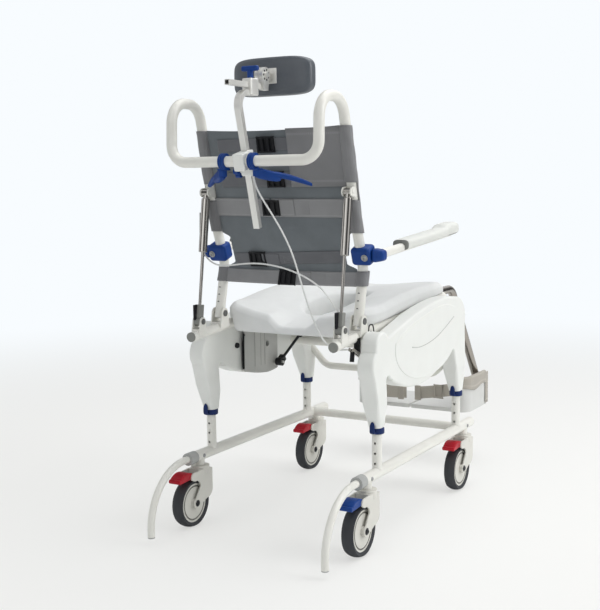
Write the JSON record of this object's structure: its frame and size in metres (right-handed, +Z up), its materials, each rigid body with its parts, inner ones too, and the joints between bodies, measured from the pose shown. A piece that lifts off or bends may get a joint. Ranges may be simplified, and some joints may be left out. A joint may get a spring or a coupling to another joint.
{
  "type": "shower commode chair",
  "caption": "Attendant shower commode chair on braked castors with tilting seat, reclining sling back, headrest, swing-up arms and swing-away foot supports.",
  "frame": {"origin": "on the floor below the middle of the bounding box", "axes": "+Z up, the sitter faces -Y, +X is the sitter's left"},
  "size_m": [0.5326, 1.204, 1.166],
  "materials": {
    "white_powder_coat": "satin",
    "white_moulding": "satin",
    "pale_grey_moulding": "satin",
    "blue_moulding": "satin",
    "red_moulding": "satin",
    "black_moulding": "satin",
    "soft_seat": "matte",
    "sling_fabric": "woven",
    "strap_webbing": "woven",
    "beige_webbing": "woven",
    "polished_steel": "polished",
    "fork_zinc": "satin",
    "tyre_grey": "matte",
    "headrest_grey": "matte",
    "cable_white": "satin"
  },
  "bodies": {
    "base": {"left_base_rail": "white_powder_coat", "right_base_rail": "white_powder_coat", "front_cross_tube": "white_powder_coat", "lower_leg_tubes": "white_powder_coat", "anti_tip_tubes": "white_powder_coat"},
    "upper_frame": {"left_side_panel": "white_moulding", "right_side_panel": "white_moulding", "frame_cross_tubes": "white_powder_coat", "height_lock_clips": "blue_moulding", "tilt_pivot_pins": "polished_steel"},
    "seat_unit": {"seat_frame": "white_powder_coat", "frame_fittings": "pale_grey_moulding", "tilt_housings": "pale_grey_moulding", "seat": "soft_seat", "cable_adjusters": "polished_steel"},
    "backrest": {"left_back_tube": "white_powder_coat", "right_back_tube": "white_powder_coat", "push_bar": "white_powder_coat", "back_sling": "sling_fabric", "sling_straps": "strap_webbing", "arm_clamps": "blue_moulding", "headrest_clamp": "white_moulding", "lever_clamps": "blue_moulding", "release_cables": "cable_white", "left_recline_cylinder": "polished_steel", "right_recline_cylinder": "polished_steel"},
    "left_lever": {"left_lever": "blue_moulding"},
    "right_lever": {"right_lever": "blue_moulding"},
    "clamp_knob": {"clamp_knob": "blue_moulding"},
    "headrest_stem": {"headrest_stem": "white_powder_coat"},
    "t_knob": {"t_knob": "blue_moulding"},
    "headrest_arm": {"headrest_arm": "white_powder_coat"},
    "headrest": {"headrest_joint": "white_powder_coat", "headrest_pad": "headrest_grey"},
    "left_arm": {"left_arm_tube": "white_powder_coat", "left_arm_pad": "soft_seat"},
    "right_arm": {"right_arm_tube": "white_powder_coat", "right_arm_pad": "soft_seat"},
    "left_recline_rod": {"left_recline_rod": "polished_steel"},
    "right_recline_rod": {"right_recline_rod": "polished_steel"},
    "tilt_cylinder": {"tilt_cylinder": "black_moulding"},
    "tilt_rod": {"tilt_rod": "polished_steel"},
    "left_footrest": {"left_footrest_tube": "white_powder_coat"},
    "right_footrest": {"right_footrest_tube": "white_powder_coat"},
    "left_footplate": {"left_footplate": "white_moulding", "left_heel_strap": "beige_webbing"},
    "right_footplate": {"right_footplate": "white_moulding", "right_heel_strap": "beige_webbing"},
    "left_rear_fork": {"left_rear_fork": "fork_zinc"},
    "left_rear_wheel": {"left_rear_wheel": "tyre_grey"},
    "left_rear_pedal": {"left_rear_pedal": "red_moulding"},
    "right_rear_fork": {"right_rear_fork": "fork_zinc"},
    "right_rear_wheel": {"right_rear_wheel": "tyre_grey"},
    "right_rear_pedal": {"right_rear_pedal": "blue_moulding"},
    "left_front_fork": {"left_front_fork": "fork_zinc"},
    "left_front_wheel": {"left_front_wheel": "tyre_grey"},
    "left_front_pedal": {"left_front_pedal": "red_moulding"},
    "right_front_fork": {"right_front_fork": "fork_zinc"},
    "right_front_wheel": {"right_front_wheel": "tyre_grey"},
    "right_front_pedal": {"right_front_pedal": "red_moulding"}
  },
  "joints": [
    {"name": "height", "type": "slide", "parent": "base", "child": "upper_frame", "axis": [0, 0, 1], "range_m": [-0.05, 0.075]},
    {"name": "tilt", "type": "hinge", "parent": "upper_frame", "child": "seat_unit", "pos_m": [0, 0.15, 0.44], "axis": [-1, 0, 0], "range_deg": [0, 35]},
    {"name": "recline", "type": "hinge", "parent": "seat_unit", "child": "backrest", "pos_m": [0, 0.338, 0.543], "axis": [-1, 0, 0], "range_deg": [0, 35], "deforming": ["release_cables"]},
    {"name": "left_lever", "type": "hinge", "parent": "backrest", "child": "left_lever", "pos_m": [0.057, 0.522, 0.894], "axis": [0, 0, 1], "range_deg": [0, 14], "stiffness_Nm_per_rad": 1},
    {"name": "right_lever", "type": "hinge", "parent": "backrest", "child": "right_lever", "pos_m": [-0.037, 0.522, 0.894], "axis": [0, 0, -1], "range_deg": [0, 14], "stiffness_Nm_per_rad": 1},
    {"name": "clamp_knob", "type": "hinge", "parent": "backrest", "child": "clamp_knob", "pos_m": [0.02, 0.50044, 0.90093], "axis": [1, 0, 0], "continuous": true},
    {"name": "headrest_height", "type": "slide", "parent": "backrest", "child": "headrest_stem", "axis": [0, 0.2588, 0.9659], "range_m": [-0.05, 0.08]},
    {"name": "t_knob", "type": "hinge", "parent": "headrest_stem", "child": "t_knob", "pos_m": [0, 0.486, 1.115], "axis": [0, 0, 1], "continuous": true},
    {"name": "headrest_depth", "type": "slide", "parent": "headrest_stem", "child": "headrest_arm", "axis": [0, 1, 0], "range_m": [-0.06, 0.015]},
    {"name": "headrest_angle", "type": "hinge", "parent": "headrest_arm", "child": "headrest", "pos_m": [0, 0.436, 1.12], "axis": [1, 0, 0], "range_deg": [-18, 18]},
    {"name": "left_arm", "type": "hinge", "parent": "backrest", "child": "left_arm", "pos_m": [0.241, 0.316, 0.7], "axis": [-1, 0, 0], "range_deg": [0, 105]},
    {"name": "right_arm", "type": "hinge", "parent": "backrest", "child": "right_arm", "pos_m": [-0.241, 0.316, 0.7], "axis": [-1, 0, 0], "range_deg": [0, 105]},
    {"name": "left_recline_rod", "type": "slide", "parent": "backrest", "child": "left_recline_rod", "axis": [0, -0.1375, 0.9905], "range_m": [0, 0.0575]},
    {"name": "right_recline_rod", "type": "slide", "parent": "backrest", "child": "right_recline_rod", "axis": [0, -0.1375, 0.9905], "range_m": [0, 0.0575]},
    {"name": "tilt_cylinder", "type": "hinge", "parent": "upper_frame", "child": "tilt_cylinder", "pos_m": [0.158, -0.095, 0.497], "axis": [1, 0, 0], "range_deg": [0, 5]},
    {"name": "tilt_rod", "type": "slide", "parent": "tilt_cylinder", "child": "tilt_rod", "axis": [0, -0.8776, 0.4795], "range_m": [0, 0.039]},
    {"name": "left_footrest", "type": "hinge", "parent": "seat_unit", "child": "left_footrest", "pos_m": [0.16, -0.228, 0.516], "axis": [0, 0, 1], "range_deg": [0, 90]},
    {"name": "right_footrest", "type": "hinge", "parent": "seat_unit", "child": "right_footrest", "pos_m": [-0.16, -0.228, 0.516], "axis": [0, 0, -1], "range_deg": [0, 90]},
    {"name": "left_footplate", "type": "hinge", "parent": "left_footrest", "child": "left_footplate", "pos_m": [0.16, -0.5, 0.202], "axis": [0, 1, 0], "range_deg": [0, 88]},
    {"name": "right_footplate", "type": "hinge", "parent": "right_footrest", "child": "right_footplate", "pos_m": [-0.16, -0.5, 0.202], "axis": [0, -1, 0], "range_deg": [0, 88]},
    {"name": "left_rear_swivel", "type": "hinge", "parent": "base", "child": "left_rear_fork", "pos_m": [0.24, 0.382, 0.15], "axis": [0, 0, 1], "continuous": true},
    {"name": "left_rear_wheel", "type": "hinge", "parent": "left_rear_fork", "child": "left_rear_wheel", "pos_m": [0.24, 0.427, 0.0625], "axis": [1, 0, 0], "continuous": true},
    {"name": "left_rear_pedal", "type": "hinge", "parent": "left_rear_fork", "child": "left_rear_pedal", "pos_m": [0.24, 0.438, 0.135], "axis": [-1, 0, 0], "range_deg": [0, 12]},
    {"name": "right_rear_swivel", "type": "hinge", "parent": "base", "child": "right_rear_fork", "pos_m": [-0.24, 0.382, 0.15], "axis": [0, 0, 1], "continuous": true},
    {"name": "right_rear_wheel", "type": "hinge", "parent": "right_rear_fork", "child": "right_rear_wheel", "pos_m": [-0.24, 0.427, 0.0625], "axis": [1, 0, 0], "continuous": true},
    {"name": "right_rear_pedal", "type": "hinge", "parent": "right_rear_fork", "child": "right_rear_pedal", "pos_m": [-0.24, 0.438, 0.135], "axis": [-1, 0, 0], "range_deg": [0, 12]},
    {"name": "left_front_swivel", "type": "hinge", "parent": "base", "child": "left_front_fork", "pos_m": [0.24, -0.24, 0.15], "axis": [0, 0, 1], "continuous": true},
    {"name": "left_front_wheel", "type": "hinge", "parent": "left_front_fork", "child": "left_front_wheel", "pos_m": [0.24, -0.195, 0.0625], "axis": [1, 0, 0], "continuous": true},
    {"name": "left_front_pedal", "type": "hinge", "parent": "left_front_fork", "child": "left_front_pedal", "pos_m": [0.24, -0.184, 0.135], "axis": [-1, 0, 0], "range_deg": [0, 12]},
    {"name": "right_front_swivel", "type": "hinge", "parent": "base", "child": "right_front_fork", "pos_m": [-0.24, -0.24, 0.15], "axis": [0, 0, 1], "continuous": true},
    {"name": "right_front_wheel", "type": "hinge", "parent": "right_front_fork", "child": "right_front_wheel", "pos_m": [-0.24, -0.195, 0.0625], "axis": [1, 0, 0], "continuous": true},
    {"name": "right_front_pedal", "type": "hinge", "parent": "right_front_fork", "child": "right_front_pedal", "pos_m": [-0.24, -0.184, 0.135], "axis": [-1, 0, 0], "range_deg": [0, 12]}
  ],
  "couplings": [
    {"joint": "left_recline_rod", "follows": "recline", "m_per_rad": 0.092},
    {"joint": "right_recline_rod", "follows": "recline", "m_per_rad": 0.092},
    {"joint": "tilt_cylinder", "follows": "tilt", "ratio": 0.125},
    {"joint": "tilt_rod", "follows": "tilt", "m_per_rad": 0.0611}
  ]
}
